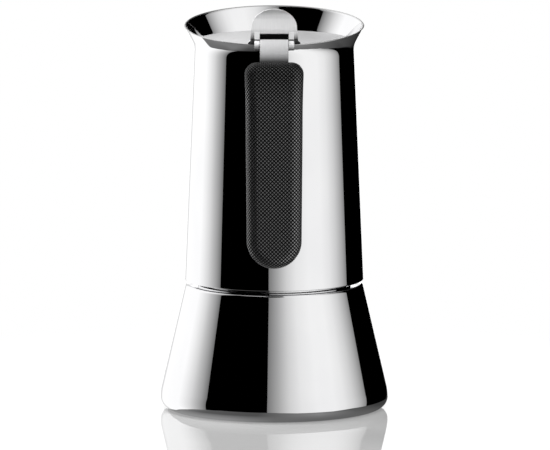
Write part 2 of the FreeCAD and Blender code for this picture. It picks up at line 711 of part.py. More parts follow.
def lid_lever():
    middle = KNUCKLE_RADIUS - LEVER_SHEET / 2
    slope = math.tan(math.radians(LEVER_LEAF_SLOPE))
    lean = math.tan(math.radians(LEVER_LEAN))
    leaf_y = LEVER_LEAF_SETBACK - LID_RADIUS
    leaf_z = LID_TOP + LEVER_SHEET / 2
    plane_y, plane_z = lever_line(middle, 0)
    bend_z = (leaf_z + slope * (leaf_y - plane_y + plane_z * lean)) / (1 + slope * lean)
    bend_y = plane_y + (bend_z - plane_z) * lean
    curl_y, curl_z = lever_line(middle, LEVER_RISE - LEVER_CURL_DROP)
    curl = math.radians(LEVER_CURL - LEVER_LEAN)
    sheet = bent_strip(
        [
            (curl_y - LEVER_RISE * math.sin(curl), curl_z + LEVER_RISE * math.cos(curl)),
            (curl_y, curl_z),
            (bend_y, bend_z),
            (leaf_y, leaf_z),
            (leaf_y + LEVER_LEAF_LENGTH, leaf_z),
        ],
        [LEVER_CURL_RADIUS, LEVER_BEND, LEVER_LEAF_BEND],
        LEVER_LEAF_HALF,
        LEVER_SHEET,
    )
    sheet = sheet.common(lever_front())
    window_top = PIN_Z + WINDOW_RISE
    window_back = PIN_Y + WINDOW_DEPTH
    window = block(
        (-KNUCKLE_OUTER_X, PIN_Y - WINDOW_DEPTH, LID_TOP),
        (KNUCKLE_OUTER_X, window_back, window_top),
    )
    sheet = sheet.cut(window)
    web_foot_z = leaf_z + slope * (leaf_y - window_back)
    web = bent_strip(
        [
            lever_line(KNUCKLE_RADIUS, WINDOW_RISE + 2 * LEVER_SHEET),
            (window_back + WEB_SHEET / 2, web_foot_z),
        ],
        [],
        KNUCKLE_OUTER_X,
        WEB_SHEET,
    )
    solid = sheet.fuse(web)
    for side in (-1, 1):
        low_x = min(side * KNUCKLE_INNER_X, side * KNUCKLE_OUTER_X)
        solid = solid.fuse(lever_knuckle(low_x, window_top))
    return solid.removeSplitter()


def lever_knuckle(low_x, window_top):
    """Strip that runs down from the lever and rolls round the pin."""
    centre = Vector(low_x, PIN_Y, PIN_Z)
    barrel = Part.makeCylinder(KNUCKLE_RADIUS, KNUCKLE_WIDTH, centre, Vector(1, 0, 0))
    strip = block(
        (low_x, PIN_Y + KNUCKLE_RADIUS - LEVER_SHEET, PIN_Z),
        (low_x + KNUCKLE_WIDTH, PIN_Y + KNUCKLE_RADIUS, window_top + LEVER_SHEET),
    )
    strip.rotate(centre, Vector(1, 0, 0), -LEVER_LEAN)
    bore = cross_rod(PIN_RADIUS + PIN_CLEARANCE, KNUCKLE_OUTER_X, PIN_Y, PIN_Z)
    return barrel.fuse(strip).cut(bore)


def hinge_pin():
    return cross_rod(PIN_RADIUS, KNUCKLE_OUTER_X, PIN_Y, PIN_Z)


# Handle

def strap_outer_leg(half_width, sheet):
    """Leg that leaves the eye's top, runs out to the grip and turns down into it."""
    middle = EYE_RADIUS - STRAP_SHEET / 2
    fall = math.atan2(GRIP_DROP, GRIP_REACH) + math.asin(middle / math.hypot(GRIP_DROP, GRIP_REACH))
    start = (PIN_Y - middle * math.sin(fall), PIN_Z + middle * math.cos(fall))
    corners = [start, (GRIP_Y, GRIP_TOP), (GRIP_Y, GRIP_TOP - TANG_LENGTH)]
    return bent_strip(corners, [STRAP_BEND], half_width, sheet)


def strap_inner_leg():
    """Leg that is welded to the vessel's wall and rises to the eye."""
    middle = EYE_RADIUS - STRAP_SHEET / 2
    pad_top = FLARE_START - STRAP_PAD_END
    pad_foot = pad_top - STRAP_PAD_HEIGHT
    corners = [
        (-upper_radius(pad_foot) - STRAP_SHEET / 2, pad_foot),
        (-upper_radius(pad_top) - STRAP_SHEET / 2, pad_top),
        (PIN_Y + middle, PIN_Z),
    ]
    return bent_strip(corners, [STRAP_PAD_BEND], STRAP_WIDTH / 2, STRAP_SHEET)


def vessel_filled():
    """The upper vessel's plain outside wall as a filled cone."""
    return Part.makeCone(
        upper_radius(UPPER_FOOT), upper_radius(FLARE_START), UPPER_HEIGHT, Vector(0, 0, UPPER_FOOT))


def handle_strap():
    eye = cross_rod(EYE_RADIUS, STRAP_WIDTH / 2, PIN_Y, PIN_Z)
    solid = eye.fuse([strap_outer_leg(STRAP_WIDTH / 2, STRAP_SHEET), strap_inner_leg()])
    solid = solid.cut(cross_rod(PIN_RADIUS, STRAP_WIDTH, PIN_Y, PIN_Z))
    hole_start = Vector(0, GRIP_FRONT, SCREW_Z)
    screw_hole = Part.makeCylinder(SCREW_RADIUS + SCREW_CLEARANCE, GRIP_DEPTH, hole_start, Vector(0, 1, 0))
    return solid.cut(screw_hole).cut(vessel_filled()).removeSplitter()


def grip():
    taper = math.radians(GRIP_TAPER)
    foot_centre = GRIP_TOP - GRIP_LENGTH + GRIP_FOOT_RADIUS
    top_half = (GRIP_FOOT_RADIUS + (GRIP_TOP - foot_centre) * math.sin(taper)) / math.cos(taper)
    wire = outline(
        [
            [(top_half, GRIP_TOP)],
            [(-top_half, GRIP_TOP)],
            arc((0, foot_centre), GRIP_FOOT_RADIUS, -180 + GRIP_TAPER, -GRIP_TAPER),
        ],
        lambda p: Vector(p[0], GRIP_FRONT, p[1]),
    )
    solid = Part.Face(wire).extrude(Vector(0, GRIP_DEPTH, 0))
    edges_along_y = [edge for edge in solid.Edges if edge.BoundBox.YLength > GRIP_DEPTH / 2]
    corners = [edge for edge in edges_along_y if edge.BoundBox.ZMin > GRIP_TOP - GRIP_CORNER]
    solid = solid.makeFillet(GRIP_CORNER, corners)
    rims = [edge for edge in solid.Edges if edge.BoundBox.YLength < GRIP_DEPTH / 2]
    solid = solid.makeFillet(GRIP_EDGE, rims)
    slot = strap_outer_leg(STRAP_WIDTH / 2 + TANG_CLEARANCE, STRAP_SHEET + 2 * TANG_CLEARANCE)
    return solid.cut(slot).cut(screw_solid(SCREW_CLEARANCE, GRIP_DEPTH))


def screw_solid(allowance, head_room):
    """The grip's screw, from the face towards the pot: its head's room and its shank."""
    head_face = GRIP_BACK - SCREW_HEAD_SINK
    outwards = Vector(0, 1, 0)
    shank_end = GRIP_Y - SCREW_REACH
    shank = Part.makeCylinder(
        SCREW_RADIUS + allowance, head_face - shank_end, Vector(0, shank_end, SCREW_Z), outwards)
    head = Part.makeCylinder(
        SCREW_HEAD_RADIUS + allowance, head_room, Vector(0, head_face, SCREW_Z), outwards)
    return shank.fuse(head)


def grip_screw():
    screw = screw_solid(0, SCREW_HEAD_HEIGHT)
    top = GRIP_BACK - SCREW_HEAD_SINK + SCREW_HEAD_HEIGHT
    slot = block(
        (-SCREW_HEAD_RADIUS, top - SCREW_HEAD_HEIGHT / 2, SCREW_Z - SCREW_SLOT / 2),
        (SCREW_HEAD_RADIUS, top, SCREW_Z + SCREW_SLOT / 2),
    )
    return screw.cut(slot)


PIECES = {
    "boiler_shell": boiler_shell,
    "boiler_neck": boiler_neck,
    "valve_body": valve_body,
    "valve_washer": valve_washer,
    "valve_nut": valve_nut,
    "valve_cap": valve_cap,
    "valve_plunger": valve_plunger,
    "valve_spring": valve_spring,
    "funnel": funnel,
    "funnel_sieve": funnel_sieve,
    "gasket": gasket,
    "filter_plate": filter_plate,
    "threaded_collar": threaded_collar,
    "chamber_floor": chamber_floor,
    "column": column,
    "column_cap": column_cap,
    "upper_shell": upper_shell,
    "lid": lid,
    "lid_lever": lid_lever,
    "hinge_pin": hinge_pin,
    "handle_strap": handle_strap,
    "grip": grip,
    "grip_screw": grip_screw,
}

os.makedirs("parts", exist_ok=True)
for name, make in PIECES.items():
    shape = make()
    print(name, "solids", len(shape.Solids), "valid", shape.isValid(), "volume", round(shape.Volume, 1))
    shape.exportStep(f"parts/{name}.step")
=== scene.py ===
import math

import bmesh
import bpy
import numpy as np
from mathutils import Matrix, Vector


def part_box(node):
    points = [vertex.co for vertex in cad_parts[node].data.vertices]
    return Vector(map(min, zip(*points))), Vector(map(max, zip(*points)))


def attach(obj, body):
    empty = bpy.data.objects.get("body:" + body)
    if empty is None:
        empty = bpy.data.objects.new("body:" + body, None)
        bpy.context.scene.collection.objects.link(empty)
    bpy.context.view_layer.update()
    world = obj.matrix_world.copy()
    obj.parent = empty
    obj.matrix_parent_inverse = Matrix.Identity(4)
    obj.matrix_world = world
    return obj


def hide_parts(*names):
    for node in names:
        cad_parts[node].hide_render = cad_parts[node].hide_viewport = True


# A stove-top moka pot: mirror-polished steel vessels, a satin lid, lever and strap and a knurled grip.

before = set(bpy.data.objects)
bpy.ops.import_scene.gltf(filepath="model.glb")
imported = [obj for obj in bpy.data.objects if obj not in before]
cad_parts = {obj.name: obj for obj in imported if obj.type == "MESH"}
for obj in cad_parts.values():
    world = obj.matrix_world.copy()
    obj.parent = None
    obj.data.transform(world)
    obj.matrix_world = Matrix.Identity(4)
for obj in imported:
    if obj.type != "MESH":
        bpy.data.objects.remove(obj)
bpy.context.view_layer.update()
scene = bpy.context.scene

# Unit, and how fine the meshes are
MM = 0.001
SEGMENTS = 256
SHARP_ANGLE = math.radians(32)
FLAT_ANGLE = math.radians(0.5)
EDGE_SUPPORT = 0.08
HEADING_STEP = 0.25

# Noise values at the two ends of a spread and of a tint
SPREAD_NOISE = (0.3, 0.7)
TINT_NOISE = (0.35, 0.65)

# Sizes of the solids that are redrawn here, in millimetres and degrees, with a few shares and counts

# Boiler
BASE_RADIUS = 52.5
FOOT_CORNER = 5.1
FOOT_BLEND = 21.9
BOILER_LEAN = 13.04
BOILER_HEIGHT = 58.0
BOILER_WALL = 1.0
SHOULDER_ROUND = 1.7
SHOULDER_LEDGE = 8.2
VALVE_HEIGHT = 30.0
VALVE_HOLE_RADIUS = 4.1
VALVE_HOLE_REACH = 3.0

# Upper vessel and lid
SEAM_HEIGHT = 1.6
UPPER_WALL = 0.8
UPPER_LEAN = 2.4
UPPER_HEIGHT = 106.4
UPPER_FOOT_ROUND = 0.6
UPPER_HEM = 1.8
FLARE_ROUND = 9.0
FLARE_ANGLE = 27.5
FLARE_HEIGHT = 11.64
FLARE_ROOT_SHARE = -0.5
FLARE_STEPS = 48
FLARE_LEAST_STEP = 0.01
RIM_TILT = 6.0
RIM_OFFSET = 1.5
RIM_EDGE_ROUND = 0.38
RIM_EDGE_STEPS = 8
LID_EDGE_ROUND = 1.5

# Grip, its knurl and its screw
GRIP_EDGE = 5.0
GRIP_CORNER = 5.5
GRIP_FOOT_RADIUS = 12.5
GRIP_TAPER = 0.4
GRIP_SWELL = 0.045
GRIP_SWELL_LENGTH = 26.0
KNURL_STEP = 0.85
KNURL_FLAT = 0.54
KNURL_DEPTH = 0.4
# Painted shade towards the grip's top: its length and the level left on the flats at the top; and how far
# below the flats the grooves' painted shade lies
KNURL_TOP_SHADE_LENGTH = 36.0
KNURL_TOP_SHADE_LEVEL = 0.42
GROOVE_SHADE = 4.0
SCREW_SINK = 3.0
SCREW_DROP = 32.0
SCREW_HEAD_ROOM = 3.55

# Where shade is painted on the lever and the strap
WINDOW_HALF = 6.6
WINDOW_TOP = 178.4
KNUCKLE_SEAM = 175.95
KNUCKLE_SEAM_HALF = 0.2
STRAP_FADE_START = -46.0
STRAP_FADE_END = -60.0

# Sizes worked out from those
LEAN = math.radians(BOILER_LEAN)
UPPER_TAPER = math.tan(math.radians(UPPER_LEAN))
UPPER_FOOT = BOILER_HEIGHT + SEAM_HEIGHT
FLARE_START = UPPER_FOOT + UPPER_HEIGHT


def cone_radius(z):
    """Outside radius of the boiler's leaning wall at a height."""
    blend_end_radius = BASE_RADIUS - FOOT_BLEND * (1 - math.cos(LEAN))
    blend_end_z = FOOT_CORNER + FOOT_BLEND * math.sin(LEAN)
    return blend_end_radius - (z - blend_end_z) * math.tan(LEAN)


SHOULDER_RADIUS = cone_radius(BOILER_HEIGHT - SHOULDER_ROUND)
NECK_RADIUS = SHOULDER_RADIUS - SHOULDER_LEDGE


# Materials

def principled(name, color, metallic, roughness):
    """New material with plain values, its tree and its shader."""
    material = bpy.data.materials.new(name)
    material.use_nodes = True
    tree = material.node_tree
    shader = tree.nodes["Principled BSDF"]
    shader.inputs["Base Color"].default_value = (*color, 1)
    shader.inputs["Metallic"].default_value = metallic
    shader.inputs["Roughness"].default_value = roughness
    return material, tree, shader


def grain(tree, stretch, detail=3.0):
    """Noise over the object's own metres, finer along the axes with a large stretch."""
    place = tree.nodes.new("ShaderNodeTexCoord")
    mapping = tree.nodes.new("ShaderNodeMapping")
    mapping.inputs["Scale"].default_value = stretch
    noise = tree.nodes.new("ShaderNodeTexNoise")
    noise.inputs["Scale"].default_value = 1.0
    noise.inputs["Detail"].default_value = detail
    tree.links.new(place.outputs["Object"], mapping.inputs["Vector"])
    tree.links.new(mapping.outputs["Vector"], noise.inputs["Vector"])
    return noise.outputs["Fac"]


def spun_grain(tree, rings_per_metre):
    """Noise that only changes with the distance from the pot's axis, as on a spun disc."""
    place = tree.nodes.new("ShaderNodeTexCoord")
    flat = tree.nodes.new("ShaderNodeVectorMath")
    flat.operation = "MULTIPLY"
    flat.inputs[1].default_value = (1, 1, 0)
    length = tree.nodes.new("ShaderNodeVectorMath")
    length.operation = "LENGTH"
    noise = tree.nodes.new("ShaderNodeTexNoise")
    noise.noise_dimensions = "1D"
    noise.inputs["Scale"].default_value = rings_per_metre
    noise.inputs["Detail"].default_value = 4.0
    tree.links.new(place.outputs["Object"], flat.inputs[0])
    tree.links.new(flat.outputs["Vector"], length.inputs[0])
    tree.links.new(length.outputs["Value"], noise.inputs["W"])
    return noise.outputs["Fac"]


def spread(tree, value, low, high):
    """A noise value spread over a range of the shader."""
    spreader = tree.nodes.new("ShaderNodeMapRange")
    spreader.inputs["From Min"].default_value = SPREAD_NOISE[0]
    spreader.inputs["From Max"].default_value = SPREAD_NOISE[1]
    spreader.inputs["To Min"].default_value = low
    spreader.inputs["To Max"].default_value = high
    tree.links.new(value, spreader.inputs["Value"])
    return spreader.outputs["Result"]


def tint(tree, value, shader, dark, light):
    """Colour that drifts between two tones with a noise value."""
    ramp = tree.nodes.new("ShaderNodeValToRGB")
    for element, position, color in zip(ramp.color_ramp.elements, TINT_NOISE, (dark, light)):
        element.position = position
        element.color = (*color, 1)
    tree.links.new(value, ramp.inputs["Fac"])
    tree.links.new(ramp.outputs["Color"], shader.inputs["Base Color"])


def bump(tree, value, shader, strength, depth):
    """Relief from a noise value, with its depth in metres."""
    relief = tree.nodes.new("ShaderNodeBump")
    relief.inputs["Strength"].default_value = strength
    relief.inputs["Distance"].default_value = depth
    tree.links.new(value, relief.inputs["Height"])
    tree.links.new(relief.outputs["Normal"], shader.inputs["Normal"])


def math_node(tree, operation, *values):
    """Result of a sum on sockets and constants."""
    node = tree.nodes.new("ShaderNodeMath")
    node.operation = operation
    for socket, value in zip(node.inputs, values):
        if isinstance(value, (int, float)):
            socket.default_value = value
        else:
            tree.links.new(value, socket)
    return node.outputs["Value"]


def share_between(tree, value, start, end, course="LINEAR"):
    """Share of the way that a value has gone between two limits."""
    share = tree.nodes.new("ShaderNodeMapRange")
    share.interpolation_type = course
    share.inputs["From Min"].default_value = start
    share.inputs["From Max"].default_value = end
    tree.links.new(value, share.inputs["Value"])
    return share.outputs["Result"]


def shade(tree, shader, share, level):
    """Turns the shader's colour grey by a share."""
    mix = tree.nodes.new("ShaderNodeMix")
    mix.data_type = "RGBA"
    mix.inputs["B"].default_value = (level, level, level, 1)
    tree.links.new(share, mix.inputs["Factor"])
    tree.links.new(shader.inputs["Base Color"].links[0].from_socket, mix.inputs["A"])
    tree.links.new(mix.outputs["Result"], shader.inputs["Base Color"])


def place_and_normal(tree):
    """Parts of a point's place on the object, in metres, and of its normal."""
    source = tree.nodes.new("ShaderNodeTexCoord")
    parts = []
    for kind in ("Object", "Normal"):
        splitter = tree.nodes.new("ShaderNodeSeparateXYZ")
        tree.links.new(source.outputs[kind], splitter.inputs["Vector"])
        parts.append(splitter.outputs)
    return parts


def polished_steel():
    """Mirror finish with faint turning lines, cloudy wiping marks and plain ground edges."""
    material, tree, shader = principled("polished_steel", (0.9, 0.9, 0.91), 1.0, 0.03)
    lines = grain(tree, (6, 6, 2400))
    clouds = grain(tree, (35, 35, 20))
    ground = tree.nodes.new("ShaderNodeAttribute")
    ground.attribute_name = "ground"
    tint(tree, clouds, shader, (0.88, 0.88, 0.89), (0.92, 0.92, 0.925))
    shade(tree, shader, ground.outputs["Fac"], 0.75)
    dull = math_node(tree, "MULTIPLY", ground.outputs["Fac"], 0.4)
    roughness = math_node(tree, "MAXIMUM", spread(tree, clouds, 0.012, 0.035), dull)
    tree.links.new(roughness, shader.inputs["Roughness"])
    bump(tree, lines, shader, 0.03, 0.00001)
    return material


def satin_steel(name, stretch, metallic, roughness, tone=0.79):
    """Blasted and lightly brushed finish, with its lines along the axis of the small stretch."""
    material, tree, shader = principled(name, (tone, tone, tone), metallic, roughness)
    lines = grain(tree, stretch, 5.0)
    light = tone + 0.04
    tint(tree, lines, shader, (tone, tone, tone + 0.005), (light, light, light + 0.005))
    tree.links.new(spread(tree, lines, roughness - 0.03, roughness + 0.03), shader.inputs["Roughness"])
    bump(tree, lines, shader, 0.02, 0.00001)
    return material


def lever_steel():
    """Satin sheet, with painted shade on its downward faces, a painted black shadow in the hollow behind
    its opening and a painted dark line of shade where its knuckles meet.
    """
    material = satin_steel("lever_steel", (2200, 300, 120), 0.5, 0.45)
    tree = material.node_tree
    shader = tree.nodes["Principled BSDF"]
    place, normal = place_and_normal(tree)
    # Painted shadow: the hollow behind the opening is painted black
    across = math_node(tree, "COMPARE", place["X"], 0.0, WINDOW_HALF * MM)
    below = math_node(tree, "LESS_THAN", place["Z"], WINDOW_TOP * MM)
    facing = math_node(tree, "LESS_THAN", normal["Z"], -0.1)
    opening_painted_shadow = math_node(tree, "MULTIPLY", math_node(tree, "MULTIPLY", across, below), facing)
    # Painted shade: a dark line where the knuckles meet
    knuckle_gap_painted_shade = math_node(tree, "COMPARE", place["Z"], KNUCKLE_SEAM * MM, KNUCKLE_SEAM_HALF * MM)
    # Painted shade on the faces that turn downwards
    downward_painted_shade = share_between(tree, normal["Z"], -0.2, -0.85)
    shade(tree, shader, downward_painted_shade, 0.1)
    shade(tree, shader, opening_painted_shadow, 0.003)
    shade(tree, shader, knuckle_gap_painted_shade, 0.03)
    return material


def strap_steel():
    """Satin strip in a darker tone than the lever, with painted shade towards the grip and where it turns
    down.
    """
    # The darker tone is painted shade that holds back the light of the lid lamp on the strip
    material = satin_steel("strap_steel", (2200, 120, 120), 0.5, 0.35, 0.49)
    tree = material.node_tree
    shader = tree.nodes["Principled BSDF"]
    place, normal = place_and_normal(tree)
    # Painted shade: darker towards the grip and on the bend that turns down
    along = share_between(tree, place["Y"], STRAP_FADE_START * MM, STRAP_FADE_END * MM)
    turned = share_between(tree, normal["Z"], 0.965, 0.74)
    strap_painted_shade = math_node(tree, "MULTIPLY_ADD", along, 0.4, math_node(tree, "MULTIPLY", turned, 0.55))
    shade(tree, shader, strap_painted_shade, 0.02)
    return material


def spun_steel():
    """Satin disc with fine rings about the pot's axis."""
    material, tree, shader = principled("spun_steel", (0.55, 0.55, 0.55), 0.6, 0.5)
    rings = spun_grain(tree, 2600)
    tint(tree, rings, shader, (0.53, 0.53, 0.535), (0.57, 0.57, 0.575))
    tree.links.new(spread(tree, rings, 0.46, 0.54), shader.inputs["Roughness"])
    bump(tree, rings, shader, 0.02, 0.00001)
    return material


def turned_brass():
    """Machined brass with turning marks and a slightly browned skin."""
    material, tree, shader = principled("turned_brass", (0.72, 0.52, 0.24), 1.0, 0.25)
    marks = grain(tree, (900, 900, 900), 4.0)
    tint(tree, grain(tree, (160, 160, 160)), shader, (0.6, 0.42, 0.18), (0.78, 0.58, 0.28))
    tree.links.new(spread(tree, marks, 0.18, 0.34), shader.inputs["Roughness"])
    bump(tree, marks, shader, 0.15, 0.00002)
    return material


def silicone():
    """Pale rubber with a soft, slightly dusty skin."""
    material, tree, shader = principled("silicone", (0.7, 0.69, 0.66), 0.0, 0.6)
    specks = grain(tree, (1200, 1200, 1200), 4.0)
    tint(tree, grain(tree, (120, 120, 120)), shader, (0.62, 0.61, 0.58), (0.72, 0.71, 0.68))
    tree.links.new(spread(tree, specks, 0.5, 0.7), shader.inputs["Roughness"])
    bump(tree, specks, shader, 0.2, 0.00003)
    return material


def black_plastic():
    """Moulded black plastic, its knurls' flats lighter and smoother, partly worn and partly a painted
    sheen, with painted shade in the grooves, where the sheen is cut too.
    """
    material, tree, shader = principled("black_plastic", (0.012, 0.012, 0.013), 0.0, 0.4)
    shader.inputs["Specular IOR Level"].default_value = 1.0
    shader.inputs["IOR"].default_value = 2.0
    # The flats' lighter colour is partly worn plastic and partly a painted sheen; the grooves' dark colour
    # and weaker sheen are painted shade, as is the darkening towards the top
    wear_and_shade = tree.nodes.new("ShaderNodeAttribute")
    wear_and_shade.attribute_name = "wear_and_shade"
    specks = grain(tree, (2500, 2500, 2500), 4.0)
    tint(tree, wear_and_shade.outputs["Fac"], shader, (0.0003, 0.0003, 0.0003), (0.03, 0.03, 0.031))
    tree.links.new(spread(tree, wear_and_shade.outputs["Fac"], 0.6, 0.28), shader.inputs["Roughness"])
    tree.links.new(spread(tree, wear_and_shade.outputs["Fac"], 0.18, 1.0), shader.inputs["Specular Tint"])
    bump(tree, specks, shader, 0.1, 0.00002)
    return material


MIRROR = polished_steel()
LEVER_STEEL = lever_steel()
STRAP_STEEL = strap_steel()
PIN_STEEL = satin_steel("pin_steel", (400, 400, 400), 1.0, 0.3)
INNER_STEEL = satin_steel("inner_steel", (60, 60, 1500), 1.0, 0.28)
LID_STEEL = spun_steel()
BRASS = turned_brass()
RUBBER = silicone()
PLASTIC = black_plastic()


# Drawing helpers

def arc(centre, radius, start, end, steps):
    """Points along a round stretch of an outline, by its angles in degrees."""
    angles = [math.radians(start + (end - start) * step / steps) for step in range(steps + 1)]
    return [(centre[0] + radius * math.cos(a), centre[1] + radius * math.sin(a)) for a in angles]


def line(start, end, steps):
    """Points along a straight stretch of an outline, without its ends but with one close to each."""
    close = EDGE_SUPPORT / math.dist(start, end)
    shares = [close] + [step / steps for step in range(1, steps)] + [1 - close]
    return [(start[0] + (end[0] - start[0]) * s, start[1] + (end[1] - start[1]) * s) for s in shares]


def level_ring(radius, z):
    """Ring of points about the pot's axis, or the one point on it."""
    if radius < 1e-6:
        return [Vector((0, 0, z))]
    angles = [2 * math.pi * step / SEGMENTS for step in range(SEGMENTS)]
    return [Vector((radius * math.cos(a), radius * math.sin(a), z)) for a in angles]


def skin(rings, closed):
    """Vertices and faces through rings of equal count, or single points at the ends."""
    vertices = []
    starts = []
    for ring in rings:
        starts.append(len(vertices))
        vertices.extend(ring)
    faces = []
    pairs = list(zip(range(len(rings)), range(1, len(rings))))
    if closed:
        pairs.append((len(rings) - 1, 0))
    for low, high in pairs:
        for step in range(SEGMENTS):
            following = (step + 1) % SEGMENTS
            corners = []
            for ring, place in ((low, step), (low, following), (high, following), (high, step)):
                index = starts[ring] + (place if len(rings[ring]) > 1 else 0)
                if index not in corners:
                    corners.append(index)
            faces.append(corners)
    return vertices, faces


def dress_mesh(name, mesh, material, body, slot, *nodes):
    """Piece from a mesh in metres, shaded smooth between its sharp edges."""
    mesh.materials.clear()
    mesh.materials.append(material)
    mesh.polygons.foreach_set("use_smooth", [True] * len(mesh.polygons))
    mesh.set_sharp_from_angle(angle=SHARP_ANGLE)
    piece = bpy.data.objects.new(name, mesh)
    scene.collection.objects.link(piece)
    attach(piece, body)
    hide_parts(*nodes)
    return piece


def add_piece(name, vertices, faces, material, body, slot, *nodes):
    """New piece in millimetres that rides on a body and stands for CAD nodes."""
    mesh = bpy.data.meshes.new(name)
    mesh.from_pydata([Vector(vertex) * MM for vertex in vertices], [], faces)
    return dress_mesh(name, mesh, material, body, slot, *nodes)


def mark_points(mesh, name, values):
    """Gives each vertex a value that a material reads by its name."""
    attribute = mesh.attributes.new(name, "FLOAT", "POINT")
    attribute.data.foreach_set("value", np.array(values, np.float32))


def weld(mesh):
    """Joins points that meet, and drops loose points and faces without area."""
    form = bmesh.new()
    form.from_mesh(mesh)
    bmesh.ops.remove_doubles(form, verts=form.verts, dist=1e-6)
    loose = [vertex for vertex in form.verts if not vertex.link_faces]
    bmesh.ops.delete(form, geom=loose, context="VERTS")
    bmesh.ops.dissolve_degenerate(form, dist=1e-7, edges=form.edges)
    bmesh.ops.recalc_face_normals(form, faces=form.faces)
    form.to_mesh(mesh)
    form.free()


def apply_modifier(piece, modifier):
    """Puts a modifier's result into the piece's mesh."""
    bpy.context.view_layer.objects.active = piece
    bpy.ops.object.modifier_apply(modifier=modifier.name)


def cut_hole(piece, radius, start, end):
    """Cuts a round hole, in millimetres, out of a piece."""
    mesh = bpy.data.meshes.new("hole")
    tool = bmesh.new()
    bmesh.ops.create_cone(
        tool, cap_ends=True, segments=48, radius1=radius * MM, radius2=radius * MM,
        depth=(Vector(end) - Vector(start)).length * MM)
    tool.to_mesh(mesh)
    tool.free()
    cutter = bpy.data.objects.new("hole", mesh)
    scene.collection.objects.link(cutter)
    along = (Vector(end) - Vector(start)).to_track_quat("Z", "Y")
    middle = (Vector(start) + Vector(end)) / 2 * MM
    cutter.matrix_world = Matrix.Translation(middle) @ along.to_matrix().to_4x4()
    cut = piece.modifiers.new("hole", "BOOLEAN")
    cut.operation = "DIFFERENCE"
    cut.solver = "EXACT"
    cut.object = cutter
    apply_modifier(piece, cut)
    bpy.data.objects.remove(cutter)


def rounded_copy(node, width, material, body, slot):
    """Piece with a solid's own shape and its sharp edges rounded by a width in millimetres."""
    form = bmesh.new()
    form.from_mesh(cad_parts[node].data)
    bmesh.ops.remove_doubles(form, verts=form.verts, dist=1e-7)
    bmesh.ops.dissolve_limit(form, angle_limit=FLAT_ANGLE, verts=form.verts, edges=form.edges)
    sharp = [
        edge for edge in form.edges
        if len(edge.link_faces) == 2 and edge.calc_face_angle() > SHARP_ANGLE
    ]
    bmesh.ops.bevel(
        form, geom=sharp, offset=width * MM, segments=2, profile=0.5, affect="EDGES", clamp_overlap=True)
    mesh = bpy.data.meshes.new(node + "_rounded")
    form.to_mesh(mesh)
    form.free()
    for name in ("custom_normal", "sharp_edge"):
        if name in mesh.attributes:
            mesh.attributes.remove(mesh.attributes[name])
    piece = dress_mesh(node + "_rounded", mesh, material, body, slot, node)
    even = piece.modifiers.new("even", "WEIGHTED_NORMAL")
    even.keep_sharp = True
    apply_modifier(piece, even)


# Boiler

def boiler_outline(inset):
    """Outline of the boiler's wall from its floor to its shoulder, set inwards by a wall."""
    foot_centre = (BASE_RADIUS - FOOT_CORNER, FOOT_CORNER)
    blend_centre = (BASE_RADIUS - FOOT_BLEND, FOOT_CORNER)
    shoulder_z = BOILER_HEIGHT - SHOULDER_ROUND
    shoulder_centre = (cone_radius(shoulder_z) - SHOULDER_ROUND / math.cos(LEAN), shoulder_z)
    foot = arc(foot_centre, FOOT_CORNER - inset, -90, 0, 32)
    blend = arc(blend_centre, FOOT_BLEND - inset, 0, BOILER_LEAN, 8)
    shoulder = arc(shoulder_centre, SHOULDER_ROUND - inset, BOILER_LEAN, 90, 16)
    return foot + blend[1:] + line(blend[-1], shoulder[0], 28) + shoulder


def boiler_wall():
    """Boiler's floor, wall and shoulder, with the hole for the valve."""
    outside = [(0, 0)] + boiler_outline(0) + [(NECK_RADIUS, BOILER_HEIGHT)]
    inside = [(0, BOILER_WALL)] + boiler_outline(BOILER_WALL)
    inside.append((NECK_RADIUS, BOILER_HEIGHT - BOILER_WALL))
    rings = [level_ring(radius, z) for radius, z in outside + inside[::-1]]
    vertices, faces = skin(rings, False)
    piece = add_piece("boiler_wall", vertices, faces, MIRROR, "boiler", "polished_steel", "boiler_shell")
    outwards = Vector((0, math.cos(LEAN), math.sin(LEAN)))
    seat = Vector((0, cone_radius(VALVE_HEIGHT), VALVE_HEIGHT))
    reach = VALVE_HOLE_REACH * outwards
    cut_hole(piece, VALVE_HOLE_RADIUS, seat - reach, seat + reach)


# Upper vessel

def upper_radius(z):
    """Outside radius of the upper vessel's wall below its flare."""
    return SHOULDER_RADIUS - (z - UPPER_FOOT) * UPPER_TAPER


def flare_ring(share, inset, lift=0.0):
    """Ring of the flare at a share of its height, set inwards by a wall and lifted along its own axis."""
    rise = share * FLARE_HEIGHT
    first = -math.radians(UPPER_LEAN)
    angle = first
    radius = upper_radius(FLARE_START + rise)
    if rise > 0:
        last = math.radians(FLARE_ANGLE)
        angle = math.asin(min(rise / FLARE_ROUND + math.sin(first), math.sin(last)))
        round_rise = FLARE_ROUND * (math.sin(angle) - math.sin(first))
        round_reach = FLARE_ROUND * (math.cos(first) - math.cos(angle))
        radius = upper_radius(FLARE_START) + round_reach + (rise - round_rise) * math.tan(angle)
    slant = max(share, 0) ** 2
    tilt = Matrix.Rotation(math.radians(RIM_TILT * slant), 3, "X")
    centre = Vector((0, RIM_OFFSET * slant, FLARE_START + rise))
    return [centre + tilt @ point for point in level_ring(radius - inset / math.cos(angle), lift)]


